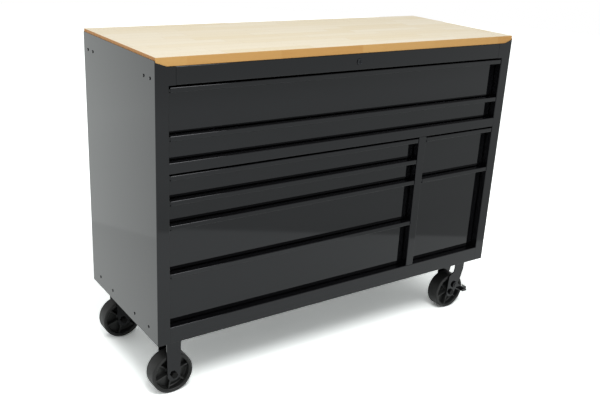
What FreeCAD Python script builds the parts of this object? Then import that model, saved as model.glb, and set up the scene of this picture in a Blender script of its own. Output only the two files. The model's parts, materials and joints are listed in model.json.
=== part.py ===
import FreeCAD, Part
import math
import os

os.makedirs("parts", exist_ok=True)

Vector = FreeCAD.Vector

# Rolling tool cabinet, in millimetres. The origin is the floor point under the
# middle of the cabinet, +Z is up and the drawers open towards -Y.

# Steel body
cabinet_width = 1321.0
cabinet_depth = 508.0
sheet = 1.2
pan_sheet = 2.0
bend = 2.4
post_width = 39.0
centre_post_width = 30.5
right_bay_width = 314.0
frame_return = 30.0
rail_downturn = 30.0
rear_flange = 25.0
rear_rail_height = 40.0
rear_rail_flange = 40.0
pan_flange = 45.0
shelf_upturn = 20.0
head_width = 59.5
head_corner_drop = 4.0
head_slope_width = 34.5
seat_gap = 0.4
seam_gap = 0.8
cut_margin = 1.0

# Heights, stacked from the bottom edge of the body to the top of the worktop
sill_height = 51.5
left_pitches = [168.0, 146.4, 72.3, 72.3]
bay_head_gap = 5.1
middle_rail_height = 31.4
wide_pitches = [73.8, 130.5]
wide_head_gap = 5.3
top_rail_height = 49.4
worktop_thickness = 25.0
worktop_proud = 4.0
worktop_rounding = 1.5

# Drawers
recess_depth = 25.5
lip_height = 14.5
lip_hem = 8.0
front_side_gap = 4.0
front_foot_gap = 3.0
floor_lift = 3.0
side_drop = 12.0
drawer_back_gap = 20.0

# Three-piece drawer slides
slide_thickness = 12.7
slide_height = 36.0
slide_sheet = 1.2
slide_bend = 1.6
slide_gap = 0.4
slide_rise = 8.0
slide_front_gap = 4.0
slide_back_gap = 14.0
fixed_slide_reach = 9.5

# Cam lock
lock_flange_radius = 10.0
lock_flange_height = 2.0
lock_barrel_radius = 8.0
lock_barrel_length = 25.0
lock_plug_radius = 6.0
lock_plug_setback = 0.4
lock_nut_flats = 22.0
lock_nut_height = 5.0
key_slot_width = 1.8
key_slot_height = 8.0
key_slot_depth = 9.0
lock_tang_side = 6.0
lock_tang_length = 6.0
lock_tang_gap = 0.05
cam_thickness = 2.5
cam_width = 15.0
cam_reach = 21.0
running_clearance = 0.05
hole_clearance = 0.15

# Body screws, placed by their distance from the front or back edge
screw_head_radius = 4.5
screw_head_height = 2.0
screw_shank_radius = 2.0
screw_shank_length = 3.5
screw_dome_rounding = 1.2
top_screw_insets = [32.4, 71.7]
top_screw_rise = 16.0
bottom_screw_insets = [66.0, 167.7]
bottom_screw_heights = [34.5, 29.8]
back_screw_count = 5
back_screw_margin = 60.0
back_shank_length = 2.6

# Casters
wheel_radius = 66.0
wheel_width = 50.0
tread_thickness = 12.0
tread_rounding = 4.0
rim_thickness = 5.0
rim_inset = 1.5
web_thickness = 6.0
spoke_count = 6
spoke_thickness = 6.0
spoke_inset = 7.0
hub_radius = 14.0
hub_side_gap = 0.4
leg_side_gap = 2.5
leg_thickness = 4.0
caster_plate_length = 105.0
caster_plate_width = 86.0
caster_plate_thickness = 4.0
caster_plate_rounding = 8.0
caster_bolt_spacing_x = 80.0
caster_bolt_spacing_y = 60.0
caster_bolt_radius = 4.0
caster_nut_flats = 13.0
caster_nut_height = 5.0
axle_radius = 6.0
axle_head_flats = 19.0
axle_head_height = 7.0
axle_hole_gap = 0.1
caster_inset_y = 62.0
rigid_inset_x = 64.5
swivel_inset_x = 78.0
rigid_leg_half_top = 23.5
rigid_leg_half_end = 21.0

# Swivel fork and its bearing
trail = 32.5
crown_gap = 43.5
crown_thickness = 4.0
race_height = 11.0
crown_radius = 34.0
cup_radius = 33.0
cup_height = 6.5
lower_race_radius = 30.0
race_gap = 0.3
king_pin_radius = 8.0
king_nut_flats = 24.0
king_nut_height = 9.0
swivel_leg_half_top = 21.5
swivel_leg_end_radius = 20.0
leg_left_knee = (-24.5, -32.0)
leg_left_shoulder = (-47.5, -47.0)
leg_right_knee = (21.5, -27.0)
leg_right_waist = (10.5, -64.0)

# Wheel brake: a pedal lever on a stud in the fork's outer leg
brake_pivot_from_axle = (16.0, 26.0)
brake_travel = 12.0
brake_stud_radius = 5.0
brake_stud_head_radius = 8.0
brake_stud_head_height = 1.6
brake_collar_radius = 8.5
brake_boss_radius = 13.0
brake_plate_thickness = 4.0
brake_standoff = 2.5
brake_end_play = 0.3
lever_top_at_pivot = (2.0, 13.0)
lever_foot_at_pivot = (-3.0, -13.0)
lever_end_at_shoe = [(-24.0, 17.0), (-1.0, 12.0), (3.0, -2.0), (-22.0, -4.0)]
pedal_start_at_shoe = -34.0
pedal_rise_at_shoe = 4.6
pedal_length = 21.0
pedal_reach = 18.0
pedal_thickness = 3.0
shoe_gap_pressed = 0.5
shoe_drop = 14.0
shoe_height = 10.0
shoe_thickness = 3.0
shoe_reach = 16.0

# Places worked out from the sizes above
half_width = cabinet_width / 2
front = -cabinet_depth / 2
back = cabinet_depth / 2
opening_half = half_width - post_width
centre_post_right = opening_half - right_bay_width
centre_post_left = centre_post_right - centre_post_width
frame_back = front + frame_return
inner_front = frame_back + seat_gap
panel_back = back - sheet
panel_front = panel_back - sheet
inner_back = panel_front - seat_gap
side_inside = half_width - sheet - seat_gap

axle_height = wheel_radius
crown_bottom = 2 * wheel_radius + crown_gap
crown_top = crown_bottom + crown_thickness
body_bottom = crown_top + race_height + caster_plate_thickness
plate_bottom = body_bottom - caster_plate_thickness

sill = body_bottom + sill_height
middle_rail_bottom = sill + sum(left_pitches) + bay_head_gap
middle_rail_top = middle_rail_bottom + middle_rail_height
top_rail_bottom = middle_rail_top + sum(wide_pitches) + wide_head_gap
top_rail_top = top_rail_bottom + top_rail_height
worktop_top = top_rail_top + worktop_thickness
side_top = worktop_top - worktop_proud
head_corner = side_top - head_corner_drop
wall_bottom = body_bottom + pan_flange + seat_gap

face_front = front + recess_depth
face_back = face_front + sheet
slide_front = face_back + slide_front_gap
slide_back = panel_front - slide_back_gap
drawer_back = panel_front - drawer_back_gap

lock_height = (top_rail_bottom + top_rail_top) / 2


# Shapes from plane outlines

def left_of(step):
    return Vector(-step.y, step.x, 0)


# Outline of a folded sheet: the path follows one face and the metal lies on its left
def folded(path, thickness=sheet, bend_outside=bend):
    points = [Vector(u, v, 0) for u, v in path]
    steps = [(after - before).normalize() for before, after in zip(points, points[1:])]
    inside_radius = max(bend_outside - thickness, 0)
    near = []
    far = []
    for index, point in enumerate(points):
        arriving = steps[max(index - 1, 0)]
        leaving = steps[min(index, len(steps) - 1)]
        normal = left_of(arriving) + left_of(leaving)
        shift = normal * (2 * thickness / normal.dot(normal))
        turn = arriving.cross(leaving).z
        near_radius = bend_outside if turn > 0 else inside_radius
        far_radius = inside_radius if turn > 0 else bend_outside
        is_end = index in (0, len(points) - 1)
        near.append((point, 0 if is_end else near_radius))
        far.append((point + shift, 0 if is_end else far_radius))
    return near + far[::-1]


# Outline from plain corners, all rounded alike
def polygon(corners, rounding=0):
    return [(Vector(u, v, 0), rounding) for u, v in corners]


# Start, middle and end of the arc that rounds a corner
def corner_arc(before, corner, after, radius):
    back_way = (before - corner).normalize()
    forward_way = (after - corner).normalize()
    half_angle = back_way.getAngle(forward_way) / 2
    reach = radius / math.tan(half_angle)
    middle_way = (back_way + forward_way).normalize()
    middle = corner + middle_way * (radius / math.sin(half_angle) - radius)
    return corner + back_way * reach, middle, corner + forward_way * reach


# Solid between two levels of an outline in the xy, xz or yz plane
def prism(outline, plane, start, stop):
    places = {
        "xy": lambda spot: Vector(spot.x, spot.y, start),
        "xz": lambda spot: Vector(spot.x, start, spot.y),
        "yz": lambda spot: Vector(start, spot.x, spot.y),
    }
    rises = {"xy": Vector(0, 0, 1), "xz": Vector(0, 1, 0), "yz": Vector(1, 0, 0)}
    place = places[plane]
    runs = []
    for index, (corner, radius) in enumerate(outline):
        before = outline[index - 1][0]
        after = outline[(index + 1) % len(outline)][0]
        if radius > 0:
            runs.append(corner_arc(before, corner, after, radius))
        else:
            runs.append((corner, corner, corner))
    edges = []
    for index, (begin, middle, end) in enumerate(runs):
        if begin != end:
            edges.append(Part.Arc(place(begin), place(middle), place(end)).toShape())
        following = runs[(index + 1) % len(runs)][0]
        edges.append(Part.makeLine(place(end), place(following)))
    face = Part.Face(Part.Wire(edges))
    return face.extrude(rises[plane] * (stop - start))


def block(x_range, y_range, z_range):
    size = [span[1] - span[0] for span in (x_range, y_range, z_range)]
    return Part.makeBox(*size, Vector(x_range[0], y_range[0], z_range[0]))


# Round bars along Y and along Z
def bar_y(x, z, y_from, y_to, radius):
    return Part.makeCylinder(radius, y_to - y_from, Vector(x, y_from, z), Vector(0, 1, 0))


def bar_z(x, y, z_from, z_to, radius):
    return Part.makeCylinder(radius, z_to - z_from, Vector(x, y, z_from), Vector(0, 0, 1))


def bar_x(y, z, x_from, x_to, radius):
    return Part.makeCylinder(radius, x_to - x_from, Vector(x_from, y, z), Vector(1, 0, 0))


def hexagon(u, v, flats):
    radius = flats / math.sqrt(3)
    turns = [math.radians(60 * index) for index in range(6)]
    return polygon([(u + radius * math.cos(turn), v + radius * math.sin(turn)) for turn in turns])


def joined(first, *others):
    return first.fuse(list(others)).removeSplitter()


def mirror_x(shape, middle=0):
    return shape.mirror(Vector(middle, 0, 0), Vector(1, 0, 0))


def mirror_y(shape):
    return shape.mirror(Vector(0, 0, 0), Vector(0, 1, 0))


def save(name, *solids):
    shape = solids[0] if len(solids) == 1 else Part.makeCompound(list(solids))
    shape.exportStep("parts/" + name + ".step")


# Body screws

def top_screw_places():
    height = top_rail_bottom + top_screw_rise
    return [(side * (back - inset), height) for side in (-1, 1) for inset in top_screw_insets]


def bottom_screw_places():
    pairs = list(zip(bottom_screw_insets, bottom_screw_heights))
    return [(side * (back - inset), body_bottom + height) for side in (-1, 1) for inset, height in pairs]


def back_screw_places():
    lowest = body_bottom + back_screw_margin
    highest = top_rail_top - back_screw_margin
    spacing = (highest - lowest) / (back_screw_count - 1)
    across = half_width - rear_flange / 2
    heights = [lowest + spacing * index for index in range(back_screw_count)]
    return [(side * across, height) for side in (-1, 1) for height in heights]


# A low domed head standing on the plane z = 0 with its shank below it
def screw(shank_length):
    head = Part.makeCylinder(screw_head_radius, screw_head_height)
    rim = [edge for edge in head.Edges if edge.BoundBox.ZMin > screw_head_height / 2]
    head = head.makeFillet(min(screw_dome_rounding, screw_head_height / 2), rim)
    shank = bar_z(0, 0, -shank_length, 0, screw_shank_radius)
    return joined(head, shank)


def make_body_screws():
    screws = []
    for y, z in top_screw_places() + bottom_screw_places():
        right = screw(screw_shank_length)
        right.rotate(Vector(0, 0, 0), Vector(0, 1, 0), 90)
        right.translate(Vector(half_width, y, z))
        screws += [right, mirror_x(right)]
    for x, z in back_screw_places():
        rear = screw(back_shank_length)
        rear.rotate(Vector(0, 0, 0), Vector(1, 0, 0), -90)
        rear.translate(Vector(x, back, z))
        screws.append(rear)
    save("body_screws", *screws)


# Holes for the side screws in whatever lies near the right side
def side_screw_holes():
    radius = screw_shank_radius + hole_clearance
    depth = half_width - screw_shank_length - cut_margin
    places = top_screw_places() + bottom_screw_places()
    return [bar_x(y, z, depth, half_width + cut_margin, radius) for y, z in places]


def back_screw_holes():
    radius = screw_shank_radius + hole_clearance
    inner = back - back_shank_length
    return [bar_y(x, z, inner, back + cut_margin, radius) for x, z in back_screw_places()]


# Shell of the body

# Side sheet with the front post and the rear flange folded from it, left side
def make_side_panels():
    rear_end = (-half_width + rear_flange, back)
    rear_corner = (-half_width, back)
    front_corner = (-half_width, front)
    post_edge = (-opening_half, front)
    return_end = (-opening_half, frame_back)
    head_edge = (-half_width + head_width - seam_gap, front)
    plain = folded([rear_end, rear_corner, front_corner, post_edge])
    with_return = folded([rear_end, rear_corner, front_corner, post_edge, return_end])
    with_head = folded([rear_end, rear_corner, front_corner, head_edge])
    bands = [
        prism(plain, "xy", body_bottom, sill),
        prism(with_return, "xy", sill, middle_rail_bottom),
        prism(plain, "xy", middle_rail_bottom, middle_rail_top),
        prism(with_return, "xy", middle_rail_top, top_rail_bottom),
        prism(with_head, "xy", top_rail_bottom, side_top),
    ]
    panel = joined(*bands)
    inner_face = -half_width + sheet
    beyond_head = -half_width + head_width + cut_margin
    above = side_top + cut_margin
    slope = [
        (-half_width + sheet + head_slope_width, top_rail_top),
        (beyond_head, top_rail_top),
        (beyond_head, above),
        (inner_face, above),
        (inner_face, head_corner),
    ]
    panel = panel.cut(prism(polygon(slope), "xz", front - cut_margin, front + bend + cut_margin))
    panel = panel.cut([mirror_x(hole) for hole in side_screw_holes()])
    panel = panel.cut(back_screw_holes())
    save("left_side_panel", panel)
    save("right_side_panel", mirror_x(panel))


# Wall behind each post that carries the drawer slides, left side
def make_inner_walls():
    path = [
        (-side_inside, inner_front),
        (-opening_half, inner_front),
        (-opening_half, inner_back),
        (-side_inside, inner_back),
    ]
    wall = prism(folded(path), "xy", wall_bottom, top_rail_bottom)
    save("left_inner_wall", wall)
    save("right_inner_wall", mirror_x(wall))


# Centre post and the two walls behind it, folded from one sheet
def make_centre_partition():
    path = [
        (centre_post_left, inner_back),
        (centre_post_left, front),
        (centre_post_right, front),
        (centre_post_right, inner_back),
    ]
    partition = prism(folded(path), "xy", body_bottom + pan_sheet, middle_rail_bottom)
    rail_room = block(
        (centre_post_left - cut_margin, centre_post_right + cut_margin),
        (front - cut_margin, inner_front),
        (body_bottom, sill),
    )
    save("centre_partition", partition.cut(rail_room))


def make_base_pan():
    path = [
        (-side_inside, body_bottom + pan_flange),
        (-side_inside, body_bottom),
        (side_inside, body_bottom),
        (side_inside, body_bottom + pan_flange),
    ]
    outline = folded(path, pan_sheet)
    pan = prism(outline, "xz", front + sheet + seat_gap, inner_back)
    screw_holes = side_screw_holes()
    pan = pan.cut(screw_holes + [mirror_x(hole) for hole in screw_holes])
    save("base_pan", pan.cut(caster_bolt_holes()))


def make_back_panel():
    bottom = body_bottom + pan_sheet + seat_gap
    half = half_width - bend - seat_gap
    panel = block((-half, half), (panel_front, panel_back), (bottom, top_rail_top - seat_gap))
    save("back_panel", panel.cut(back_screw_holes()))


def make_bottom_rail():
    path = [
        (frame_back, sill - rail_downturn),
        (frame_back, sill),
        (front, sill),
        (front, body_bottom),
    ]
    save("bottom_rail", prism(folded(path), "yz", -opening_half, opening_half))


def make_middle_rail():
    path = [
        (frame_back, middle_rail_top),
        (front, middle_rail_top),
        (front, middle_rail_bottom),
        (frame_back, middle_rail_bottom),
    ]
    save("middle_rail", prism(folded(path), "yz", -opening_half, opening_half))


def make_middle_shelf():
    path = [
        (-opening_half, middle_rail_bottom + shelf_upturn),
        (-opening_half, middle_rail_bottom),
        (opening_half, middle_rail_bottom),
        (opening_half, middle_rail_bottom + shelf_upturn),
    ]
    save("middle_shelf", prism(folded(path), "xz", inner_front, inner_back))


# Rail under the worktop, notched at its ends for the post heads
def make_top_rail():
    path = [
        (frame_back, top_rail_top),
        (front, top_rail_top),
        (front, top_rail_bottom),
        (frame_back, top_rail_bottom),
    ]
    rail = prism(folded(path), "yz", -opening_half, opening_half)
    head_inner = half_width - head_width
    for side in (-1, 1):
        ends = sorted((side * head_inner, side * (opening_half + cut_margin)))
        heights = (top_rail_bottom - cut_margin, top_rail_top + cut_margin)
        rail = rail.cut(block(ends, (front - cut_margin, front + sheet), heights))
    hole = bar_y(0, lock_height, front - cut_margin, frame_back, lock_barrel_radius + hole_clearance)
    save("top_rail", rail.cut(hole))


def make_rear_top_rail():
    path = [
        (inner_back, top_rail_top - rear_rail_height),
        (inner_back, top_rail_top),
        (inner_back - rear_rail_flange, top_rail_top),
    ]
    save("rear_top_rail", prism(folded(path), "yz", -side_inside, side_inside))


def make_worktop():
    depth = (front + sheet + seat_gap, panel_back - seat_gap)
    board = block((-side_inside, side_inside), depth, (top_rail_top, worktop_top))
    upper = [edge for edge in board.Edges if edge.BoundBox.ZMin > worktop_top - worktop_thickness / 2]
    save("worktop", board.makeFillet(worktop_rounding, upper))


# Cam lock in the middle of the top rail

def make_lock():
    flange_front = front - lock_flange_height
    barrel_back = front + lock_barrel_length
    bore_radius = lock_plug_radius + running_clearance
    flange = bar_y(0, lock_height, flange_front, front, lock_flange_radius)
    barrel = bar_y(0, lock_height, front, barrel_back, lock_barrel_radius)
    bore = bar_y(0, lock_height, flange_front - cut_margin, barrel_back + cut_margin, bore_radius)
    housing = joined(flange, barrel).cut(bore)
    nut_front = front + sheet
    nut = prism(hexagon(0, lock_height, lock_nut_flats), "xz", nut_front, nut_front + lock_nut_height)
    nut_bore = lock_barrel_radius + running_clearance
    nut = nut.cut(bar_y(0, lock_height, front, barrel_back, nut_bore))
    save("lock_housing", housing, nut)

    half_tang = lock_tang_side / 2
    plug = bar_y(0, lock_height, flange_front + lock_plug_setback, barrel_back + running_clearance, lock_plug_radius)
    tang = block(
        (-half_tang, half_tang),
        (barrel_back, barrel_back + lock_tang_length),
        (lock_height - half_tang, lock_height + half_tang),
    )
    slot = block(
        (-key_slot_width / 2, key_slot_width / 2),
        (flange_front, flange_front + key_slot_depth),
        (lock_height - key_slot_height / 2, lock_height + key_slot_height / 2),
    )
    save("lock_plug", joined(plug, tang).cut(slot))

    cam_front = barrel_back + running_clearance
    cam_back = cam_front + cam_thickness
    half_hole = half_tang + lock_tang_gap
    end_middle = cam_reach - cam_width / 2
    arm = block((0, end_middle), (cam_front, cam_back), (lock_height - cam_width / 2, lock_height + cam_width / 2))
    root = bar_y(0, lock_height, cam_front, cam_back, cam_width / 2)
    tip = bar_y(end_middle, lock_height, cam_front, cam_back, cam_width / 2)
    square = block(
        (-half_hole, half_hole),
        (cam_front - cut_margin, cam_back + cut_margin),
        (lock_height - half_hole, lock_height + half_hole),
    )
    save("lock_cam", joined(arm, root, tip).cut(square))


# Drawers, from the top of each stack down

# Bottom and top of each drawer's place in a stack that starts at a height
def stack(start, pitches):
    edges = [start + sum(pitches[:count]) for count in range(len(pitches) + 1)]
    return list(zip(edges, edges[1:]))


def drawer_places():
    left_bay = (-opening_half, centre_post_left)
    right_bay = (centre_post_right, opening_half)
    wide_bay = (-opening_half, opening_half)
    right_pitches = [sum(left_pitches[:2]), sum(left_pitches[2:])]
    stacks = [
        ("wide_drawer", wide_bay, stack(middle_rail_top, wide_pitches)),
        ("left_drawer", left_bay, stack(sill, left_pitches)),
        ("right_drawer", right_bay, stack(sill, right_pitches)),
    ]
    places = []
    for name, bay, levels in stacks:
        for number, level in enumerate(reversed(levels), start=1):
            places.append((name + "_" + str(number), bay, level))
    return places


# Recessed front with its shelf, lip and hem, and the open box behind it
def make_drawer(name, bay, level):
    foot = level[0] + front_foot_gap
    lip_top = level[1]
    floor = foot + floor_lift
    wall_top = lip_top - side_drop
    front_path = [
        (face_back, foot),
        (face_back, lip_top),
        (front, lip_top),
        (front, lip_top - lip_height),
        (front + lip_hem, lip_top - lip_height),
    ]
    front_piece = prism(folded(front_path), "yz", bay[0] + front_side_gap, bay[1] - front_side_gap)
    box_left = bay[0] + slide_thickness
    box_right = bay[1] - slide_thickness
    tray_path = [
        (box_left, wall_top),
        (box_left, floor),
        (box_right, floor),
        (box_right, wall_top),
    ]
    tray = prism(folded(tray_path), "xz", face_back, drawer_back)
    inside_x = (box_left + sheet / 2, box_right - sheet / 2)
    rear = block(inside_x, (drawer_back - sheet, drawer_back), (floor + sheet / 2, wall_top))
    save(name, joined(front_piece, tray, rear))


# The three members of one slide on the bay's left wall, as outlines across it
def slide_members(bay, level):
    wall = bay[0]
    middle = level[0] + front_foot_gap + floor_lift + slide_rise + slide_height / 2
    step = slide_sheet + slide_gap
    fixed_half = slide_height / 2
    middle_half = fixed_half - step
    inner_half = middle_half - step
    drawer_side = wall + slide_thickness
    fixed = [
        (wall + fixed_slide_reach, middle + fixed_half),
        (wall, middle + fixed_half),
        (wall, middle - fixed_half),
        (wall + fixed_slide_reach, middle - fixed_half),
    ]
    moving = [
        (drawer_side - step, middle + middle_half),
        (wall + step, middle + middle_half),
        (wall + step, middle - middle_half),
        (drawer_side - step, middle - middle_half),
    ]
    inner = [
        (wall + 2 * step, middle - inner_half),
        (drawer_side, middle - inner_half),
        (drawer_side, middle + inner_half),
        (wall + 2 * step, middle + inner_half),
    ]
    return [folded(path, slide_sheet, slide_bend) for path in (fixed, moving, inner)]


def make_drawers():
    fixed_slides = []
    for name, bay, level in drawer_places():
        make_drawer(name, bay, level)
        bay_middle = (bay[0] + bay[1]) / 2
        members = []
        for outline in slide_members(bay, level):
            left = prism(outline, "xz", slide_front, slide_back)
            members.append([left, mirror_x(left, bay_middle)])
        fixed, moving, inner = members
        fixed_slides += fixed
        save(name + "_middle_slides", *moving)
        save(name + "_inner_slides", *inner)
    save("fixed_slides", *fixed_slides)


# Casters: the front one of each pair is modelled and the rear one mirrored

front_caster_y = front + caster_inset_y
rigid_x = -half_width + rigid_inset_x
swivel_x = half_width - swivel_inset_x
swivel_axle_x = swivel_x - trail
leg_inner = wheel_width / 2 + leg_side_gap
leg_outer = leg_inner + leg_thickness
outer_face = front_caster_y - leg_outer


def save_pair(name, *solids):
    save(name, *solids, *[mirror_y(solid) for solid in solids])


def caster_bolt_places(x):
    half_x = caster_bolt_spacing_x / 2
    half_y = caster_bolt_spacing_y / 2
    return [(x + side * half_x, front_caster_y + end * half_y) for side in (-1, 1) for end in (-1, 1)]


def caster_bolt_holes():
    radius = caster_bolt_radius + hole_clearance
    places = caster_bolt_places(rigid_x) + caster_bolt_places(swivel_x)
    top = body_bottom + pan_sheet + cut_margin
    holes = [bar_z(x, y, plate_bottom - cut_margin, top, radius) for x, y in places]
    return holes + [mirror_y(hole) for hole in holes]


def caster_plate(x):
    half_x = caster_plate_length / 2
    half_y = caster_plate_width / 2
    corners = [
        (x - half_x, front_caster_y - half_y),
        (x + half_x, front_caster_y - half_y),
        (x + half_x, front_caster_y + half_y),
        (x - half_x, front_caster_y + half_y),
    ]
    plate = prism(polygon(corners, caster_plate_rounding), "xy", plate_bottom, body_bottom)
    return plate.cut(caster_bolt_holes())


def make_caster_bolts():
    pieces = []
    nut_bottom = body_bottom + pan_sheet
    for x, y in caster_bolt_places(rigid_x) + caster_bolt_places(swivel_x):
        head = prism(hexagon(x, y, caster_nut_flats), "xy", plate_bottom - caster_nut_height, plate_bottom)
        shank_top = nut_bottom + caster_nut_height + cut_margin
        shank = bar_z(x, y, plate_bottom, shank_top, caster_bolt_radius)
        nut = prism(hexagon(x, y, caster_nut_flats), "xy", nut_bottom, nut_bottom + caster_nut_height)
        nut_bore = bar_z(x, y, body_bottom, shank_top, caster_bolt_radius + running_clearance)
        pieces += [joined(head, shank), nut.cut(nut_bore)]
    save_pair("caster_bolts", *pieces)


# Both legs of a fork from one outline in the xz plane and a rounded end at the axle
def fork_legs(corners, axle_x, end_radius):
    legs = []
    for inner, outer in ((leg_inner, leg_outer), (-leg_outer, -leg_inner)):
        span = (front_caster_y + inner, front_caster_y + outer)
        leg = prism(polygon(corners), "xz", *span)
        end = bar_y(axle_x, axle_height, *span, end_radius)
        hole = bar_y(axle_x, axle_height, *span, axle_radius + axle_hole_gap)
        legs.append(joined(leg, end).cut(hole))
    return legs


def make_rigid_forks():
    corners = [
        (rigid_x - rigid_leg_half_top, plate_bottom),
        (rigid_x - rigid_leg_half_end, axle_height),
        (rigid_x + rigid_leg_half_end, axle_height),
        (rigid_x + rigid_leg_half_top, plate_bottom),
    ]
    legs = fork_legs(corners, rigid_x, rigid_leg_half_end)
    save_pair("rigid_forks", joined(caster_plate(rigid_x), *legs))


# Bolt through fork and wheel with a hexagon head outside and a nut inside
def make_axle(axle_x):
    far_face = front_caster_y + leg_outer
    tip = far_face + axle_head_height + cut_margin
    nut_bore = axle_radius + running_clearance
    shape = hexagon(axle_x, axle_height, axle_head_flats)
    head = prism(shape, "xz", outer_face - axle_head_height, outer_face)
    shank = bar_y(axle_x, axle_height, outer_face, tip, axle_radius)
    nut = prism(shape, "xz", far_face, far_face + axle_head_height)
    return [joined(head, shank), nut.cut(bar_y(axle_x, axle_height, far_face, tip, nut_bore))]


# Top plate, bearing cup and king pin with its nut
def make_swivel_plates():
    nut_top = crown_bottom - race_gap
    cup = bar_z(swivel_x, front_caster_y, plate_bottom - cup_height, plate_bottom, cup_radius)
    pin = bar_z(swivel_x, front_caster_y, nut_top - king_nut_height, plate_bottom, king_pin_radius)
    nut = prism(hexagon(swivel_x, front_caster_y, king_nut_flats), "xy", nut_top - king_nut_height, nut_top)
    save_pair("swivel_plates", joined(caster_plate(swivel_x), cup, pin, nut))


# Crown, lower bearing race, two raked legs and the stud for the brake lever
def make_swivel_fork():
    crown_half = math.sqrt(crown_radius ** 2 - swivel_leg_half_top ** 2)
    crown_disc = bar_z(swivel_x, front_caster_y, crown_bottom, crown_top, crown_radius)
    crown_bar = block(
        (swivel_x - swivel_leg_half_top, swivel_x + swivel_leg_half_top),
        (front_caster_y - max(leg_outer, crown_half), front_caster_y + max(leg_outer, crown_half)),
        (crown_bottom, crown_top),
    )
    beyond_legs = block(
        (swivel_x - 2 * crown_radius, swivel_x + 2 * crown_radius),
        (front_caster_y - leg_outer, front_caster_y + leg_outer),
        (crown_bottom, crown_top),
    )
    crown = joined(crown_disc, crown_bar).common(beyond_legs)
    race_top = plate_bottom - cup_height - race_gap
    race = bar_z(swivel_x, front_caster_y, crown_top, race_top, lower_race_radius)
    corners = [
        (swivel_x - swivel_leg_half_top, crown_top),
        (swivel_x + leg_left_knee[0], crown_top + leg_left_knee[1]),
        (swivel_x + leg_left_shoulder[0], crown_top + leg_left_shoulder[1]),
        (swivel_axle_x - swivel_leg_end_radius, axle_height),
        (swivel_axle_x + swivel_leg_end_radius, axle_height),
        (swivel_x + leg_right_waist[0], crown_top + leg_right_waist[1]),
        (swivel_x + leg_right_knee[0], crown_top + leg_right_knee[1]),
        (swivel_x + swivel_leg_half_top, crown_top),
    ]
    legs = fork_legs(corners, swivel_axle_x, swivel_leg_end_radius)
    pin_hole = bar_z(swivel_x, front_caster_y, crown_bottom, race_top, king_pin_radius + running_clearance)
    stud_x = swivel_axle_x + brake_pivot_from_axle[0]
    stud_z = axle_height + brake_pivot_from_axle[1]
    stud_head_back = outer_face - brake_standoff - brake_plate_thickness - brake_end_play
    stud_head_front = stud_head_back - brake_stud_head_height
    stud = bar_y(stud_x, stud_z, stud_head_back, outer_face, brake_stud_radius)
    stud_head = bar_y(stud_x, stud_z, stud_head_front, stud_head_back, brake_stud_head_radius)
    return joined(crown, race, *legs, stud, stud_head).cut(pin_hole)


# The shoe is placed with the lever pressed, just clear of the tread, then turned to rest
def make_brake_lever():
    pivot_x = swivel_axle_x + brake_pivot_from_axle[0]
    pivot_z = axle_height + brake_pivot_from_axle[1]
    plate_back = outer_face - brake_standoff
    plate_front = plate_back - brake_plate_thickness
    shoe_face = swivel_axle_x + wheel_radius + shoe_gap_pressed
    shoe_foot = axle_height - shoe_drop
    lift = math.radians(brake_travel)
    shoe_x = pivot_x + (shoe_face - pivot_x) * math.cos(lift) - (shoe_foot - pivot_z) * math.sin(lift)
    shoe_z = pivot_z + (shoe_face - pivot_x) * math.sin(lift) + (shoe_foot - pivot_z) * math.cos(lift)
    top_corner = (pivot_x + lever_top_at_pivot[0], pivot_z + lever_top_at_pivot[1])
    foot_corner = (pivot_x + lever_foot_at_pivot[0], pivot_z + lever_foot_at_pivot[1])
    end_corners = [(shoe_x + u, shoe_z + v) for u, v in lever_end_at_shoe]
    arm = prism(polygon([top_corner, *end_corners, foot_corner]), "xz", plate_front, plate_back)
    boss = bar_y(pivot_x, pivot_z, plate_front, plate_back, brake_boss_radius)
    collar = bar_y(pivot_x, pivot_z, plate_back, outer_face - brake_end_play, brake_collar_radius)
    pedal_left = shoe_x + pedal_start_at_shoe
    pedal_bottom = shoe_z + pedal_rise_at_shoe
    pedal = block(
        (pedal_left, pedal_left + pedal_length),
        (plate_front - pedal_reach, plate_back),
        (pedal_bottom, pedal_bottom + pedal_thickness),
    )
    shoe = block(
        (shoe_face, shoe_face + shoe_thickness),
        (plate_front, plate_back + shoe_reach),
        (shoe_foot, shoe_foot + shoe_height),
    )
    shoe.rotate(Vector(pivot_x, 0, pivot_z), Vector(0, 1, 0), -brake_travel)
    hole = bar_y(pivot_x, pivot_z, plate_front, outer_face, brake_stud_radius + running_clearance)
    return joined(arm, boss, collar, pedal, shoe).cut(hole)


def make_tread(axle_x):
    half = wheel_width / 2
    inner_radius = wheel_radius - tread_thickness
    span = (front_caster_y - half, front_caster_y + half)
    tread = bar_y(axle_x, axle_height, *span, wheel_radius)
    shoulders = [edge for edge in tread.Edges if edge.Length > wheel_radius * math.pi and edge.isClosed()]
    tread = tread.makeFillet(tread_rounding, shoulders)
    return tread.cut(bar_y(axle_x, axle_height, *span, inner_radius))


# Moulded centre: rim, web, spokes on both sides of the web and hub
def make_wheel_core(axle_x):
    rim_radius = wheel_radius - tread_thickness - running_clearance
    rim_inner = rim_radius - rim_thickness
    rim_half = wheel_width / 2 - rim_inset
    spoke_half = wheel_width / 2 - spoke_inset
    hub_half = leg_inner - hub_side_gap

    def disc(half, radius):
        return bar_y(axle_x, axle_height, front_caster_y - half, front_caster_y + half, radius)

    rim = disc(rim_half, rim_radius).cut(disc(rim_half, rim_inner))
    web = disc(web_thickness / 2, rim_inner)
    hub = disc(hub_half, hub_radius)
    spokes = []
    for index in range(spoke_count):
        spoke = block(
            (axle_x, axle_x + rim_inner + rim_thickness / 2),
            (front_caster_y - spoke_half, front_caster_y + spoke_half),
            (axle_height - spoke_thickness / 2, axle_height + spoke_thickness / 2),
        )
        turn = 360 * (index + 0.5) / spoke_count
        spoke.rotate(Vector(axle_x, 0, axle_height), Vector(0, 1, 0), turn)
        spokes.append(spoke)
    bore = disc(hub_half, axle_radius + running_clearance)
    return joined(rim, web, hub, *spokes).cut(bore)


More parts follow.
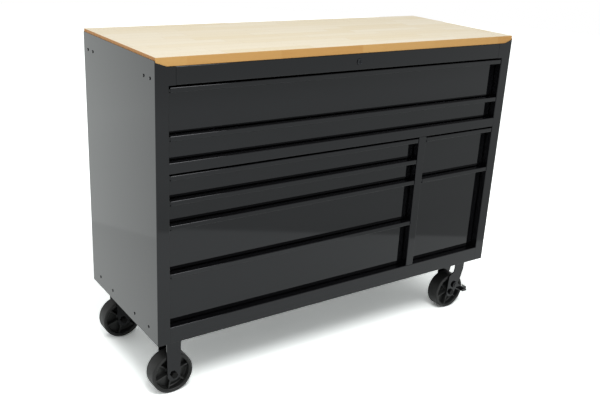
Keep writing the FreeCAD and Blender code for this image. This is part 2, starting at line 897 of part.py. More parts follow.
def make_wheels():
    places = [("rigid", rigid_x), ("swivel", swivel_axle_x)]
    for kind, axle_x in places:
        tread = make_tread(axle_x)
        core = make_wheel_core(axle_x)
        save("front_" + kind + "_tread", tread)
        save("rear_" + kind + "_tread", mirror_y(tread))
        save("front_" + kind + "_wheel_core", core)
        save("rear_" + kind + "_wheel_core", mirror_y(core))


def make_casters():
    make_caster_bolts()
    make_rigid_forks()
    save_pair("rigid_axles", *make_axle(rigid_x))
    make_swivel_plates()
    fork = make_swivel_fork()
    save("front_swivel_fork", fork)
    save("rear_swivel_fork", mirror_y(fork))
    axle = make_axle(swivel_axle_x)
    save("front_swivel_axle", *axle)
    save("rear_swivel_axle", *[mirror_y(piece) for piece in axle])
    lever = make_brake_lever()
    save("front_brake_lever", lever)
    save("rear_brake_lever", mirror_y(lever))
    make_wheels()


make_side_panels()
make_inner_walls()
make_centre_partition()
make_base_pan()
make_back_panel()
make_bottom_rail()
make_middle_rail()
make_middle_shelf()
make_top_rail()
make_rear_top_rail()
make_worktop()
make_body_screws()
make_lock()
make_drawers()
make_casters()
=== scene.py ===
import json
import math
import bpy
from mathutils import Matrix, Vector

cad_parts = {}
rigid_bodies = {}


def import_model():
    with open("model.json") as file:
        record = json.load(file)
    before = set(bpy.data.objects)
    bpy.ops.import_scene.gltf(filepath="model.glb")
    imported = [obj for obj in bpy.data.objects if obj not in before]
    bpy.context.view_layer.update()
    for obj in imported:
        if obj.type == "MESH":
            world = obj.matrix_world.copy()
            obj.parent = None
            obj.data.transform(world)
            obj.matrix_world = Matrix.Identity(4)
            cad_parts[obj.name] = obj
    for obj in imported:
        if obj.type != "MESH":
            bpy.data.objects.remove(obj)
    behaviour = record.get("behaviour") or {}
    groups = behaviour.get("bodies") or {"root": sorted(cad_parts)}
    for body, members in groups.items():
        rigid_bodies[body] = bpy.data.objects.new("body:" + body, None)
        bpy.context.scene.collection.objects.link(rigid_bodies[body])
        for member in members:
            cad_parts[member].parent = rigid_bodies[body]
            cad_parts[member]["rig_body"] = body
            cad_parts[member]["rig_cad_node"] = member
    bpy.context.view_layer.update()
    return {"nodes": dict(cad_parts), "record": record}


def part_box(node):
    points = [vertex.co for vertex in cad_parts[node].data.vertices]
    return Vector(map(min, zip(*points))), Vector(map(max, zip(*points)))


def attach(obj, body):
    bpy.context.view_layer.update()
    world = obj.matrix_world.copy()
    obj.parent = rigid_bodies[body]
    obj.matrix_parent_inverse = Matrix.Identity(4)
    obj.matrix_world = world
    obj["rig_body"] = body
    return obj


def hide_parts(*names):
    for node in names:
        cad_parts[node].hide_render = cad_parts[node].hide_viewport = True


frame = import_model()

mm = 0.001
nodes = frame["nodes"]
drawerNames = [name for name in nodes if "_drawer_" in name and "slides" not in name]
paintSlot = "black_powder_coat"
print("frame loaded:", len(nodes), "nodes")


# Camera: where the photograph was taken from, in the cabinet's own frame

cameraSetup = {
    "place": (-1.4958, -2.0956, 1.3969),
    "azimuth": -35.327,    # degrees, from straight ahead of the drawers
    "elevation": 20.207,
    "roll": 3.127,
    "lens": 47.66,         # in millimetres, like the sensor's width
    "sensor": 36.0,
}


def makeCamera():
    azimuth = math.radians(cameraSetup["azimuth"])
    elevation = math.radians(cameraSetup["elevation"])
    roll = math.radians(cameraSetup["roll"])
    backward = Vector((
        math.sin(azimuth) * math.cos(elevation),
        -math.cos(azimuth) * math.cos(elevation),
        math.sin(elevation),
    ))
    level = Vector((0, 0, 1)).cross(backward).normalized()
    upright = backward.cross(level)
    right = level * math.cos(roll) + upright * math.sin(roll)
    up = upright * math.cos(roll) - level * math.sin(roll)
    data = bpy.data.cameras.new("camera")
    data.lens = cameraSetup["lens"]
    data.sensor_width = cameraSetup["sensor"]
    camera = bpy.data.objects.new("camera", data)
    bpy.context.collection.objects.link(camera)
    turned = Matrix((right, up, backward)).transposed().to_4x4()
    camera.matrix_world = Matrix.Translation(cameraSetup["place"]) @ turned
    bpy.context.scene.camera = camera
    print("camera set")


# Material helpers

# An sRGB hex colour as linear values, by the sRGB curve
def linear(hexText):
    channels = [int(hexText[i:i + 2], 16) / 255 for i in (1, 3, 5)]
    curved = [c / 12.92 if c <= 0.04045 else ((c + 0.055) / 1.055) ** 2.4 for c in channels]
    return (*curved, 1)


# Sets an input to a value, or links it to a socket
def feed(tree, socket, value):
    if isinstance(value, bpy.types.NodeSocket):
        tree.links.new(value, socket)
    else:
        socket.default_value = value


# Adds a node: settings are its properties or input values, links are (input, source socket) pairs
def addNode(tree, kind, settings=None, links=()):
    node = tree.nodes.new(kind)
    for key, value in (settings or {}).items():
        if isinstance(key, str) and hasattr(node, key):
            setattr(node, key, value)
        else:
            node.inputs[key].default_value = value
    for socket, source in links:
        tree.links.new(source, node.inputs[socket])
    return node


# A new material with its shader's fixed values set, and the object's own coordinates
def startMaterial(name, values):
    material = bpy.data.materials.new(name)
    material.use_nodes = True
    tree = material.node_tree
    shader = tree.nodes["Principled BSDF"]
    for key, value in values.items():
        shader.inputs[key].default_value = value
    place = addNode(tree, "ShaderNodeTexCoord").outputs["Object"]
    return material, tree, shader, place


# Blends two colours by a factor socket
def mixColours(tree, factor, first, second):
    mix = addNode(tree, "ShaderNodeMix", {"data_type": "RGBA"}, [(0, factor)])
    feed(tree, mix.inputs[6], first)       # 6, 7 and 2 are the node's sockets for colours
    feed(tree, mix.inputs[7], second)
    return mix.outputs[2]


# Stretches a socket's values from one range to another, whose ends may be sockets
def remap(tree, source, fromLow, fromHigh, toLow, toHigh):
    node = addNode(tree, "ShaderNodeMapRange", {1: fromLow, 2: fromHigh}, [(0, source)])
    feed(tree, node.inputs[3], toLow)
    feed(tree, node.inputs[4], toHigh)
    return node.outputs[0]


# One value or another, by a factor socket
def choose(tree, factor, low, high):
    return remap(tree, factor, 0.0, 1.0, low, high)


def addMath(tree, operation, first, second=None):
    node = addNode(tree, "ShaderNodeMath", {"operation": operation})
    feed(tree, node.inputs[0], first)
    if second is not None:
        feed(tree, node.inputs[1], second)
    return node.outputs[0]


# How far a value is from the nearest whole number
def offWhole(tree, value):
    return addMath(tree, "PINGPONG", value, 0.5)


# Soft noise whose patches are about a given distance apart
def addNoise(tree, place, spacing, detail=2.0, distortion=0.0):
    settings = {"Scale": 1 / spacing, "Detail": detail, "Distortion": distortion}
    return addNode(tree, "ShaderNodeTexNoise", settings, [("Vector", place)]).outputs["Fac"]


# Raises the surface by up to a given height where a socket is 1
def addBump(tree, shader, source, height):
    bump = addNode(tree, "ShaderNodeBump", {"Distance": height}, [("Height", source)])
    tree.links.new(bump.outputs[0], shader.inputs["Normal"])


noiseSpan = (0.3, 0.7)     # where nearly all values of a noise lie


# Roughness that drifts between two values with a noise
def varyGloss(tree, shader, noise, values):
    gloss = remap(tree, noise, *noiseSpan, *values["roughness"])
    tree.links.new(gloss, shader.inputs["Roughness"])


# Colour that drifts between two tones with a noise
def varyColour(tree, shader, noise, values):
    colour = mixColours(tree, noise, linear(values["colour"]), linear(values["tone"]))
    tree.links.new(colour, shader.inputs["Base Color"])


# A new material whose colour and gloss drift together in patches
def startPatchy(name, settings, values):
    material, tree, shader, place = startMaterial(name, settings)
    patches = addNoise(tree, place, values["patch"], values["patchDetail"])
    varyColour(tree, shader, patches, values)
    varyGloss(tree, shader, patches, values)
    return material, tree, shader, place


powderCoat = {
    "colour": "#050506",
    "tone": "#08080a",
    "sheen": "#f8faff",         # tint of what it mirrors
    "index": 1.35,
    "roughness": (0.04, 0.07),
    "orangePeel": 3.0 * mm,     # waves of the cured powder, drawn a little wide so that they show
    "peelHeight": 0.004 * mm,
    "patch": 180 * mm,          # slow change of tone and gloss over a panel
    "patchDetail": 3.0,
}


# Semi-gloss black powder coat on folded steel: a deep black that mirrors its surroundings softly
def makePowderCoat():
    values = powderCoat
    settings = {"IOR": values["index"], "Specular Tint": linear(values["sheen"])}
    material, tree, shader, place = startPatchy("blackPowderCoat", settings, values)
    addBump(tree, shader, addNoise(tree, place, values["orangePeel"]), values["peelHeight"])
    return material


blackOxide = {
    "colour": "#070707",
    "tone": "#0d0d0d",          # where handling has worn it
    "index": 1.18,
    "roughness": (0.32, 0.46),
    "patch": 3 * mm,
    "patchDetail": 3.0,
}


# Oiled black oxide on the casters' bolts: darker and duller than the paint
def makeBlackOxide():
    return startPatchy("oiledBlackOxide", {"IOR": blackOxide["index"]}, blackOxide)[0]


zincPlate = {
    "colour": "#b9bcbf",
    "tone": "#a9adb3",
    "roughness": (0.22, 0.38),
    "rolling": 2.0 * mm,        # spacing of the faint lines left by rolling
    "stretch": 0.02,            # how much slower they change along the slide
    "spangle": 9 * mm,
}


# Bright zinc plate on rolled steel: pale grey metal with faint lines along the slide
def makeZincPlate():
    values = zincPlate
    material, tree, shader, place = startMaterial("brightZincPlate", {"Metallic": 1.0})
    varyColour(tree, shader, addNoise(tree, place, values["spangle"]), values)
    settings = {"Scale": (1, values["stretch"], 1)}
    stretched = addNode(tree, "ShaderNodeMapping", settings, [("Vector", place)]).outputs[0]
    varyGloss(tree, shader, addNoise(tree, stretched, values["rolling"]), values)
    return material


rubberTread = {
    "colour": "#121313",
    "tone": "#1c1d1c",          # dust from the floor
    "index": 1.36,
    "roughness": (0.48, 0.66),
    "grain": 1.6 * mm,
    "grainHeight": 0.03 * mm,
    "patch": 26 * mm,
    "patchDetail": 4.0,
}


# Moulded rubber tread: dark grey-black and dull, faintly dusty in patches
def makeRubber():
    values = rubberTread
    settings = {"IOR": values["index"]}
    material, tree, shader, place = startPatchy("mouldedRubber", settings, values)
    addBump(tree, shader, addNoise(tree, place, values["grain"]), values["grainHeight"])
    return material


mouldedNylon = {
    "colour": "#1c1d1d",
    "tone": "#262726",
    "index": 1.38,
    "roughness": (0.34, 0.46),
    "grain": 1.1 * mm,
    "grainHeight": 0.015 * mm,
}


# Black moulded nylon of the wheel centres: satin, with a fine spark-eroded grain
def makeNylon():
    values = mouldedNylon
    material, tree, shader, place = startMaterial("blackNylon", {"IOR": values["index"]})
    grain = addNoise(tree, place, values["grain"])
    varyColour(tree, shader, grain, values)
    varyGloss(tree, shader, grain, values)
    addBump(tree, shader, grain, values["grainHeight"])
    return material


darkPlating = {
    "colour": "#333436",
    "tone": "#252628",          # finger smudges
    "roughness": (0.10, 0.22),
    "patch": 4 * mm,
    "patchDetail": 2.0,
}


# Dark polished plating of the lock: a near mirror that turns dark beside the black rail
def makeDarkPlating():
    return startPatchy("darkPolishedPlating", {"Metallic": 1.0}, darkPlating)[0]


woodTop = {
    "staveWidth": 42 * mm,
    "staveLength": 290 * mm,
    # The top's two colours, paler than the edges': a painted sheen of the satin coat
    "paintedSheenTop": "#e1d8c3",
    "paintedSheenTopWarm": "#daccac",
    "edgePale": "#dab06b",
    "edgeGold": "#c08b45",
    "endGrain": "#bb8446",
    "line": "#8c6536",
    "lineWidth": 0.6 * mm,
    "grain": 2.2 * mm,
    "grainStretch": 0.03,       # how much slower it changes along a stave
    "grainDetail": 5.0,
    "grainWander": 0.4,
    "grainHeight": 0.02 * mm,
    "grainShare": 0.3,          # of the tone, whose rest changes from stave to stave
    "lineStrength": 0.25,
    "index": 1.4,
    "roughness": (0.50, 0.62),
    "stagger": 3.0,             # staves by which a row may be shifted
    "rowStep": 17.3,            # sets the tones of neighbouring rows apart
    "upward": (0.3, 0.7),       # how far a face looks up where edge turns into the top's painted sheen
    "sideways": (0.5, 0.8),     # and how far along X where it turns into end grain
}


# Laminated hardwood under a clear satin coat: glued staves in changing tones, golden long
# edges, darker end grain, and a top painted paler than the edges as a painted sheen
def makeWood():
    values = woodTop
    material, tree, shader, place = startMaterial("laminatedHardwood", {"IOR": values["index"]})
    split = addNode(tree, "ShaderNodeSeparateXYZ", {}, [(0, place)])
    along, across = split.outputs[0], split.outputs[1]
    rowPlace = addMath(tree, "DIVIDE", across, values["staveWidth"])
    row = addMath(tree, "FLOOR", rowPlace)
    settings = {"noise_dimensions": "1D"}
    rowNoise = addNode(tree, "ShaderNodeTexWhiteNoise", settings, [("W", row)])
    shift = addMath(tree, "MULTIPLY", rowNoise.outputs["Value"], values["stagger"])
    unshifted = addMath(tree, "DIVIDE", along, values["staveLength"])
    piecePlace = addMath(tree, "ADD", unshifted, shift)
    piece = addMath(tree, "FLOOR", piecePlace)
    key = addMath(tree, "ADD", addMath(tree, "MULTIPLY", row, values["rowStep"]), piece)
    toneNoise = addNode(tree, "ShaderNodeTexWhiteNoise", settings, [("W", key)])
    tone = toneNoise.outputs["Value"]

    settings = {"Scale": (values["grainStretch"], 1, 1)}
    stretched = addNode(tree, "ShaderNodeMapping", settings, [("Vector", place)]).outputs[0]
    offset = addNode(tree, "ShaderNodeCombineXYZ", {}, [(2, tone)]).outputs[0]
    settings = {"operation": "ADD"}
    moved = addNode(tree, "ShaderNodeVectorMath", settings, [(0, stretched), (1, offset)])
    detail, wander = values["grainDetail"], values["grainWander"]
    grain = addNoise(tree, moved.outputs[0], values["grain"], detail, wander)
    share = values["grainShare"]
    staveTone = addMath(tree, "MULTIPLY", tone, 1 - share)
    blend = addMath(tree, "ADD", staveTone, addMath(tree, "MULTIPLY", grain, share))

    normal = addNode(tree, "ShaderNodeNewGeometry").outputs["Normal"]
    facing = addNode(tree, "ShaderNodeSeparateXYZ", {}, [(0, normal)])
    upward = remap(tree, facing.outputs[2], *values["upward"], 0.0, 1.0)
    alongX = addMath(tree, "ABSOLUTE", facing.outputs[0])
    sideways = remap(tree, alongX, *values["sideways"], 0.0, 1.0)
    edge = mixColours(tree, blend, linear(values["edgePale"]), linear(values["edgeGold"]))
    # Faces that look up take the top's paler colours, which are painted sheen
    face = mixColours(tree, blend, linear(values["paintedSheenTop"]), linear(values["paintedSheenTopWarm"]))
    colour = mixColours(tree, upward, edge, face)
    colour = mixColours(tree, sideways, colour, linear(values["endGrain"]))

    rowEdge = offWhole(tree, rowPlace)
    pieceEdge = offWhole(tree, piecePlace)
    rowLine = addMath(tree, "LESS_THAN", rowEdge, values["lineWidth"] / values["staveWidth"])
    pieceLine = addMath(tree, "LESS_THAN", pieceEdge, values["lineWidth"] / values["staveLength"])
    joint = addMath(tree, "MAXIMUM", rowLine, pieceLine)
    faint = addMath(tree, "MULTIPLY", joint, values["lineStrength"])
    colour = mixColours(tree, faint, colour, linear(values["line"]))
    tree.links.new(colour, shader.inputs["Base Color"])

    varyGloss(tree, shader, grain, values)
    addBump(tree, shader, addMath(tree, "SUBTRACT", grain, joint), values["grainHeight"])
    return material


linerFoam = {
    "colour": "#1b1c1d",
    "tone": "#26272a",          # tops of the ribs, lighter than the grooves: the grooves' darker colour is painted shade
    "roughness": 0.85,
    "ribs": 6 * mm,
    "ribFlank": (0.1, 0.4),     # where a rib rises, from the groove's middle, in ribs
    "ribHeight": 0.5 * mm,
}


# Ribbed foam mat in the drawers: dull dark grey, with ribs across the drawer and grooves painted
# darker as painted shade
def makeLiner():
    values = linerFoam
    material, tree, shader, place = startMaterial("ribbedFoam", {"Roughness": values["roughness"]})
    split = addNode(tree, "ShaderNodeSeparateXYZ", {}, [(0, place)])
    ribPlace = addMath(tree, "DIVIDE", split.outputs[1], values["ribs"])
    high = remap(tree, offWhole(tree, ribPlace), *values["ribFlank"], 0.0, 1.0)
    # The rib tops take the lighter tone and the grooves the darker colour: painted shade in the
    # grooves
    varyColour(tree, shader, high, values)
    addBump(tree, shader, high, values["ribHeight"])
    return material


# Studio: a pale floor, white surroundings and soft light from everywhere

studio = {
    "floorRadius": 9.0,
    "floorSides": 96,
    "floorLit": 0.80,              # brightness of the floor for the light that it gives back
    "floorShown": 1.92,            # and for the camera, so that it fades to white
    "tint": (0.965, 1.0, 0.985),
    # What the paint mirrors: a pale sheet under the cabinet, and the floor round that sheet
    "paper": 1.72,
    "floor": 1.10,                 # ahead of the sheet, near the cabinet
    "farFloor": 1.70,              # ahead of the sheet, far from the cabinet
    "far": (-3.2, -1.0),           # where ahead is far and where near, along Y
    "sideFloor": (1.90, 2.30),     # to the left of the sheet, in front and behind
    "sideFar": (1.0, 3.0),         # between which places along Y it changes
    "frontEdge": -1.388,           # where the sheet ends at the front: y - frontSlope * x
    "frontSlope": 0.605,
    "sideEdge": -1.66,             # and at the left: x - sideSlope * y
    "sideSlope": 0.547,
    "edgeBlur": 0.015,
    "skyStrength": 0.70,
    "lampAim": (0, 0, 0.2),
    "lamps": {
        "keyLamp": {
            "power": 52,
            "size": (1.2, 1.2),
            "place": (-0.8, -1.9, 3.2),
            "lights": True,
        },
        # A tall soft box that is only mirrored: hairlines of light on the lips' folds
        "edgeLamp": {
            "power": 62,
            "size": (0.8, 2.4),
            "place": (0.52, -1.9, 3.1),
            "lights": False,
        },
    },
}


# 0 on one side of a slanting line on the floor and 1 on the other
def crossLine(tree, first, second, slope, edge):
    slanted = addMath(tree, "MULTIPLY", second, slope)
    place = addMath(tree, "SUBTRACT", first, slanted)
    return remap(tree, place, edge - studio["edgeBlur"], edge + studio["edgeBlur"], 0.0, 1.0)


# 1 for what is seen directly, mirrored or through glass, and 0 for what only lights the object
def addSeen(tree, rays):
    seen = addMath(tree, "MAXIMUM", rays.outputs["Is Camera Ray"], rays.outputs["Is Glossy Ray"])
    return addMath(tree, "MAXIMUM", seen, rays.outputs["Is Transmission Ray"])


# White surroundings, a little dimmer as a light than as they are seen
def makeSky():
    world = bpy.data.worlds.new("whiteRoom")
    world.use_nodes = True
    bpy.context.scene.world = world
    tree = world.node_tree
    seen = addSeen(tree, addNode(tree, "ShaderNodeLightPath"))
    background = tree.nodes["Background"]
    background.inputs[0].default_value = (1, 1, 1, 1)
    tree.links.new(choose(tree, seen, studio["skyStrength"], 1.0), background.inputs[1])


# The floor's matte finish: plain for the camera, in bright and dark regions for the paint
def makeFloorMatte():
    material = bpy.data.materials.new("paleFloor")
    material.use_nodes = True
    tree = material.node_tree
    tree.nodes.remove(tree.nodes["Principled BSDF"])
    rays = addNode(tree, "ShaderNodeLightPath")
    seen = addSeen(tree, rays)
    place = addNode(tree, "ShaderNodeTexCoord").outputs["Object"]
    split = addNode(tree, "ShaderNodeSeparateXYZ", {}, [(0, place)])
    across, deep = split.outputs[0], split.outputs[1]
    onPaper = crossLine(tree, deep, across, studio["frontSlope"], studio["frontEdge"])
    ahead = remap(tree, deep, *studio["far"], studio["farFloor"], studio["floor"])
    bright = choose(tree, onPaper, ahead, studio["paper"])
    rightOfEdge = crossLine(tree, across, deep, studio["sideSlope"], studio["sideEdge"])
    beside = remap(tree, deep, *studio["sideFar"], *studio["sideFloor"])
    bright = choose(tree, rightOfEdge, beside, bright)
    bright = choose(tree, rays.outputs["Is Camera Ray"], bright, studio["floorShown"])
    settings = {"operation": "SCALE", 0: studio["tint"]}
    tinted = addNode(tree, "ShaderNodeVectorMath", settings, [("Scale", bright)]).outputs[0]
    lit = studio["floorLit"]
    colour = mixColours(tree, seen, (lit, lit, lit, 1), tinted)
    matte = addNode(tree, "ShaderNodeBsdfDiffuse", {}, [("Color", colour)])
    tree.links.new(matte.outputs[0], tree.nodes["Material Output"].inputs["Surface"])
    return material


def makeFloor():
    deselectAll()
    sides, radius = studio["floorSides"], studio["floorRadius"]
    bpy.ops.mesh.primitive_circle_add(vertices=sides, radius=radius, fill_type="NGON")
    floor = bpy.context.object
    floor.name = "floor"
    floor.data.materials.append(makeFloorMatte())


def addLamps():
    for name, values in studio["lamps"].items():
        lamp = bpy.data.lights.new(name, "AREA")
        lamp.energy = values["power"]
        lamp.shape = "RECTANGLE"
        lamp.size, lamp.size_y = values["size"]
        holder = bpy.data.objects.new(name, lamp)
        holder.visible_diffuse = values["lights"]
        bpy.context.collection.objects.link(holder)
        holder.location = values["place"]
        aim = Vector(studio["lampAim"]) - holder.location
        holder.rotation_euler = aim.to_track_quat("-Z", "Y").to_euler()


def makeStudio():
    bpy.context.scene.view_settings.view_transform = "Standard"
    makeSky()
    makeFloor()
    addLamps()
    print("studio made")


# Modelling helpers

modelling = {
    "roundingSteps": 2,
    "roundingAngle": 30,       # degrees, above which an edge is rounded
    "newSmooth": 35,           # degrees, up to which a new piece is shaded smooth over its edges
    "copySmooth": 50,          # and a softened copy of a CAD node
    "flatAngle": 1,            # degrees, up to which faces of a CAD node count as one
    "nodeWeld": 0.005 * mm,    # vertices of a CAD node that are nearer are merged
    "latheWeld": 0.01 * mm,    # and those where a turned section closes
    "near": 0.1 * mm,          # vertices nearer to a plane than this count as in it
}


def deselectAll():
    if bpy.context.object and bpy.context.object.mode != "OBJECT":
        bpy.ops.object.mode_set(mode="OBJECT")
    bpy.ops.object.select_all(action="DESELECT")


def selectOnly(piece):
    deselectAll()
    piece.hide_viewport = False
    piece.select_set(True)
    bpy.context.view_layer.objects.active = piece


# Draws a chain of points with edit-mode extrudes, from one starting vertex
def drawChain(name, points):
    deselectAll()
    bpy.ops.mesh.primitive_plane_add(size=mm, location=(0, 0, 0))
    piece = bpy.context.object
    piece.name = name
    bpy.ops.object.mode_set(mode="EDIT")
    bpy.ops.mesh.select_all(action="SELECT")
    bpy.ops.mesh.merge(type="CENTER")
    bpy.ops.transform.translate(value=points[0])
    for before, after in zip(points, points[1:]):
        step = Vector(after) - Vector(before)
        bpy.ops.mesh.extrude_region_move(TRANSFORM_OT_translate={"value": step})
    return piece


# Turns a closed section of (radius, along) points round the Y axis
def turnOnLathe(name, section, steps):
    points = [(radius, along, 0) for radius, along in section + section[:1]]
    piece = drawChain(name, points)
    bpy.ops.mesh.select_all(action="SELECT")
    bpy.ops.mesh.spin(steps=steps, angle=2 * math.pi, center=(0, 0, 0), axis=(0, 1, 0))
    bpy.ops.mesh.select_all(action="SELECT")
    bpy.ops.mesh.remove_doubles(threshold=modelling["latheWeld"])
    bpy.ops.mesh.normals_make_consistent(inside=False)
    bpy.ops.object.mode_set(mode="OBJECT")
    return piece


# A copy of a piece with its own mesh
def copyPiece(piece, name):
    selectOnly(piece)
    bpy.ops.object.duplicate()
    copied = bpy.context.object
    copied.name = name
    return copied


# Selects the vertices of the piece in edit mode whose place passes a test
def selectWhere(piece, test):
    bpy.ops.mesh.select_all(action="DESELECT")
    bpy.ops.object.mode_set(mode="OBJECT")
    for vertex in piece.data.vertices:
        vertex.select = test(vertex.co)
    bpy.ops.object.mode_set(mode="EDIT")


# Rounds the sharp edges of a piece
def roundEdges(piece, width):
    bevel = piece.modifiers.new("edges", "BEVEL")
    bevel.width = width
    bevel.segments = modelling["roundingSteps"]
    bevel.limit_method = "ANGLE"
    bevel.angle_limit = math.radians(modelling["roundingAngle"])
    selectOnly(piece)
    bpy.ops.object.modifier_apply(modifier=bevel.name)


# A square block between two corners
def makeBlock(name, low, high):
    deselectAll()
    middle = (Vector(high) + Vector(low)) / 2
    bpy.ops.mesh.primitive_cube_add(size=1, location=middle)
    piece = bpy.context.object
    piece.name = name
    piece.scale = Vector(high) - Vector(low)
    bpy.ops.object.transform_apply(location=True, rotation=False, scale=True)
    return piece


def joinPieces(main, others):
    selectOnly(main)
    for other in others:
        other.select_set(True)
    bpy.ops.object.join()


# Gives a modelled piece its shading, its material and the body that it moves with
def finishPiece(piece, material, body, replaced=(), smooth=modelling["newSmooth"]):
    selectOnly(piece)
    bpy.ops.object.transform_apply(location=True, rotation=True, scale=True)
    bpy.ops.object.shade_smooth_by_angle(angle=math.radians(smooth))
    normals = piece.modifiers.new("normals", "WEIGHTED_NORMAL")    # keeps flat faces flat
    normals.keep_sharp = True
    bpy.ops.object.modifier_apply(modifier=normals.name)
    piece.data.materials.clear()
    piece.data.materials.append(material)
    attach(piece, body)
    if replaced:
        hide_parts(*replaced)


# A copy of a CAD node with its flat triangles merged
def copyNode(nodeName, pieceName):
    piece = copyPiece(nodes[nodeName], pieceName)
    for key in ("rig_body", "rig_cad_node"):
        if key in piece:
            del piece[key]
    piece.parent = None
    bpy.ops.object.mode_set(mode="EDIT")
    bpy.ops.mesh.select_all(action="SELECT")
    bpy.ops.mesh.remove_doubles(threshold=modelling["nodeWeld"])
    bpy.ops.mesh.dissolve_limited(angle_limit=math.radians(modelling["flatAngle"]))
    bpy.ops.object.mode_set(mode="OBJECT")
    return piece


# A copy of a CAD node with its edges softly rounded
def softenNode(nodeName, pieceName, material, body, width):
    piece = copyNode(nodeName, pieceName)
    roundEdges(piece, width)
    finishPiece(piece, material, body, (nodeName,), modelling["copySmooth"])


# Wheels: one is modelled round the Y axis at the origin, then copied to the four axles

wheel = {
    "radius": 66 * mm,
    "halfWidth": 25 * mm,
    "treadBore": 57 * mm,
    "boreChamfer": 0.9 * mm,
    "shoulder": 5.0 * mm,       # rounding from the tread's side to its face
    "shoulderSteps": 6,
    "treadSteps": 96,
    "rimOuter": 56.9 * mm,
    "rimInner": 54.4 * mm,
    "rimHalf": 23.4 * mm,
    "webHalf": 3 * mm,
    "hub": 14 * mm,
    "hubEnd": 11 * mm,
    "hubHalf": 27 * mm,
    "hubTaper": 3 * mm,
    "bore": 6.1 * mm,
    "chamfer": 0.8 * mm,
    "fillet": 2.2 * mm,         # where hub and rim meet the web
    "coreSteps": 72,
    "spokes": 6,
    "spokeStart": 42,           # degrees
    "spokeWidth": 6 * mm,
    "spokeDepth": 18 * mm,
    "spokeRoot": 2 * mm,        # how far a spoke runs into hub, rim and web
    "spokeDraft": 0.78,         # width at its outer edge
    "spokeWaist": (             # place along the spoke, width there, dip of its outer edge
        (0.25, 0.90, 1.2 * mm),
        (0.50, 0.80, 2.4 * mm),
        (0.75, 0.90, 1.2 * mm),
    ),
    "spokeRounding": 0.9 * mm,
}


def treadSection():
    w = wheel
    half, radius, shoulder = w["halfWidth"], w["radius"], w["shoulder"]
    side = [(w["treadBore"], half - w["boreChamfer"]), (w["treadBore"] + w["boreChamfer"], half)]
    for index in range(w["shoulderSteps"] + 1):
        turn = math.radians(90 * (1 - index / w["shoulderSteps"]))
        side.append((
            radius - shoulder + shoulder * math.cos(turn),
            half - shoulder + shoulder * math.sin(turn),
        ))
    return side + [(r, -along) for r, along in reversed(side)]


def coreSection():
    w = wheel
    chamfer, fillet = w["chamfer"], w["fillet"]
    right = [
        (w["bore"], w["hubHalf"] - chamfer),
        (w["bore"] + chamfer, w["hubHalf"]),
        (w["hubEnd"], w["hubHalf"]),
        (w["hub"], w["hubHalf"] - w["hubTaper"]),
        (w["hub"], w["webHalf"] + fillet),
        (w["hub"] + fillet, w["webHalf"]),
        (w["rimInner"] - fillet, w["webHalf"]),
        (w["rimInner"], w["webHalf"] + fillet),
        (w["rimInner"], w["rimHalf"] - chamfer),
        (w["rimInner"] + chamfer, w["rimHalf"]),
        (w["rimOuter"] - chamfer, w["rimHalf"]),
        (w["rimOuter"], w["rimHalf"] - chamfer),
    ]
    return right + [(r, -along) for r, along in reversed(right)]


# One spoke from hub to rim along X on the far side of the web, slim and dished at its middle
def makeSpoke():
    w = wheel
    root, depth, half = w["spokeRoot"], w["spokeDepth"], w["spokeWidth"] / 2
    near = modelling["near"]
    start, end = w["hub"] - root, w["rimInner"] + root
    spoke = makeBlock("spoke", (start, w["webHalf"] - root, -half), (end, depth, half))
    bpy.ops.object.mode_set(mode="EDIT")
    for along, width, dip in w["spokeWaist"]:
        x = start + along * (end - start)
        bpy.ops.mesh.select_all(action="SELECT")
        bpy.ops.mesh.bisect(plane_co=(x, 0, 0), plane_no=(1, 0, 0))
        selectWhere(spoke, lambda place: abs(place.x - x) < near)
        bpy.ops.transform.resize(value=(1, 1, width), center_override=(x, 0, 0))
        selectWhere(spoke, lambda place: abs(place.x - x) < near and place.y > depth - near)
        bpy.ops.transform.translate(value=(0, -dip, 0))
    selectWhere(spoke, lambda place: place.y > depth / 2)
    bpy.ops.transform.resize(value=(1, 1, w["spokeDraft"]), center_override=(0, 0, 0))
    bpy.ops.object.mode_set(mode="OBJECT")
    roundEdges(spoke, w["spokeRounding"])
    return spoke


def makeCore():
    w = wheel
    pair = makeSpoke()
    back = copyPiece(pair, "backSpoke")
    bpy.ops.transform.rotate(value=math.pi, orient_axis="X", center_override=(0, 0, 0))
    joinPieces(pair, [back])
    spokes = [pair] + [copyPiece(pair, "spoke") for index in range(1, w["spokes"])]
    for index, spoke in enumerate(spokes):
        selectOnly(spoke)
        angle = math.radians(w["spokeStart"] + 360 * index / w["spokes"])
        bpy.ops.transform.rotate(value=-angle, orient_axis="Y", center_override=(0, 0, 0))
    core = turnOnLathe("core", coreSection(), w["coreSteps"])
    joinPieces(core, spokes)
    return core


def makeWheels():
    tread = turnOnLathe("tread", treadSection(), wheel["treadSteps"])
    core = makeCore()
    for end in ("front", "rear"):
        for kind in ("rigid", "swivel"):
            prefix = end + "_" + kind
            body = prefix + "_wheel"
            low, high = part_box(prefix + "_tread")
            ring = copyPiece(tread, prefix + "_tread_ring")
            ring.location = (low + high) / 2
            finishPiece(ring, rubber, body, (prefix + "_tread",))
            centre = copyPiece(core, prefix + "_spoked_core")
            centre.location = (low + high) / 2
            finishPiece(centre, nylon, body, (prefix + "_wheel_core",))
    selectOnly(tread)
    core.select_set(True)
    bpy.ops.object.delete()
    print("wheels made")


# Casters: forks, plates, levers and axle bolts with softly rounded edges

casterEdges = {"fork": 0.8 * mm, "lever": 0.7 * mm, "bolt": 0.5 * mm}


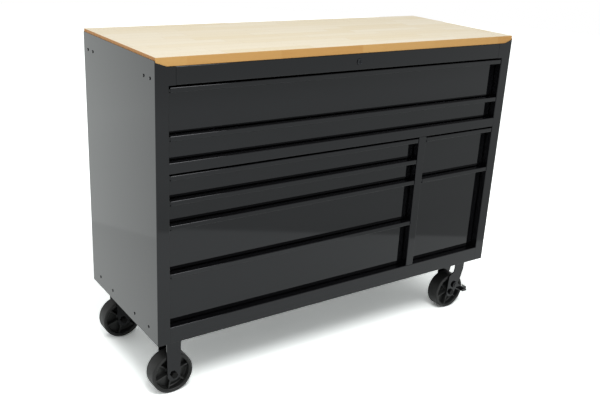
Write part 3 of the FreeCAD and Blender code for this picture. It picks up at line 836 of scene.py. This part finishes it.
def makeCasters():
    edges = casterEdges
    softenNode("rigid_forks", "rigid_fork_pair", coat, "cabinet", edges["fork"])
    softenNode("rigid_axles", "rigid_axle_bolts", coatedBolt, "cabinet", edges["bolt"])
    softenNode("swivel_plates", "swivel_plate_pair", coat, "cabinet", edges["fork"])
    for end in ("front", "rear"):
        body = end + "_swivel"
        fork, axle, lever = body + "_fork", body + "_axle", end + "_brake_lever"
        softenNode(fork, end + "_raked_fork", coat, body, edges["fork"])
        softenNode(axle, end + "_axle_bolt", coatedBolt, body, edges["bolt"])
        softenNode(lever, end + "_brake_pedal", coat, end + "_brake", edges["lever"])
    print("casters made")


# Folded sheet parts: edges rounded by the coat of powder

sheetEdges = {
    "rounding": 0.5 * mm,
    "sides": ("left_side_panel", "right_side_panel"),
    "sideHead": 10 * mm,       # height of the sides' heads beside the worktop
    "sideDrop": 5 * mm,        # how much lower they lie than in the solids
    "body": (
        "left_inner_wall", "right_inner_wall", "centre_partition", "back_panel", "base_pan",
        "bottom_rail", "middle_rail", "middle_shelf", "top_rail", "rear_top_rail",
    ),
}


def softenSheets():
    rounding = sheetEdges["rounding"]
    for name in sheetEdges["sides"]:
        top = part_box(name)[1].z
        side = copyNode(name, name + "_sheet")
        bpy.ops.object.mode_set(mode="EDIT")
        selectWhere(side, lambda place: place.z > top - sheetEdges["sideHead"])
        bpy.ops.transform.translate(value=(0, 0, -sheetEdges["sideDrop"]))
        bpy.ops.object.mode_set(mode="OBJECT")
        roundEdges(side, rounding)
        finishPiece(side, coat, "cabinet", (name,), modelling["copySmooth"])
    for name in sheetEdges["body"]:
        softenNode(name, name + "_sheet", coat, "cabinet", rounding)
    for name in drawerNames:
        softenNode(name, name + "_box", coat, name, rounding)
    print("sheets softened")


# Trim: the worktop, the lock and the screws with softly rounded edges

trimEdges = {"wood": 1.2 * mm, "lock": 0.35 * mm, "screw": 1.2 * mm}


def softenTrim():
    edges, plating = trimEdges, "chrome_plated_lock"
    softenNode("worktop", "laminated_top", wood, "cabinet", edges["wood"])
    softenNode("lock_housing", "lock_ring", lockPlating, "cabinet", edges["lock"])
    softenNode("lock_plug", "lock_barrel", lockPlating, "lock", edges["lock"])
    softenNode("body_screws", "screw_heads", coat, "cabinet", edges["screw"])
    print("trim softened")


# Gives every CAD node a finish: those that no piece above stands for are shown with it
def dressNodes():
    finishes = {
        paintSlot: coat,
        "zinc_plated_steel": zinc,
        "black_tread_rubber": rubber,
        "black_moulded_nylon": nylon,
        "clear_coated_hardwood": wood,
        "chrome_plated_lock": lockPlating,
    }
    for entry in frame["record"]["subparts"]:
        isBolt = entry["node"] == "caster_bolts"
        mesh = nodes[entry["node"]].data
        mesh.materials.clear()
        mesh.materials.append(coatedBolt if isBolt else finishes[entry["material_slot"]])
    print("nodes dressed")


# Foam mats on the drawer floors

mat = {
    "thickness": 2.0 * mm,
    "edgeGap": 3 * mm,
    "lift": 0.3 * mm,          # above the drawer's floor
    "openingLift": 1.0 * mm,   # of the record's opening above that floor
    "rounding": 0.6 * mm,
}


def makeMats():
    openings = {entry["name"]: entry for entry in frame["record"]["physics"]["openings"]}
    gap = mat["edgeGap"]
    for name in drawerNames:
        low, high = (Vector(corner) for corner in openings[name + "_inside"]["box_m"])
        base = low.z - mat["openingLift"] + mat["lift"]
        near = (low.x + gap, low.y + gap, base)
        far = (high.x - gap, high.y - gap, base + mat["thickness"])
        piece = makeBlock(name + "_mat", near, far)
        roundEdges(piece, mat["rounding"])
        finishPiece(piece, liner, name)
    print("mats made")


makeCamera()
makeStudio()
coat = makePowderCoat()
coatedBolt = makeBlackOxide()
zinc = makeZincPlate()
rubber = makeRubber()
nylon = makeNylon()
lockPlating = makeDarkPlating()
wood = makeWood()
liner = makeLiner()
print("materials made")
dressNodes()
makeWheels()
makeCasters()
softenSheets()
softenTrim()
makeMats()

bpy.context.view_layer.update()
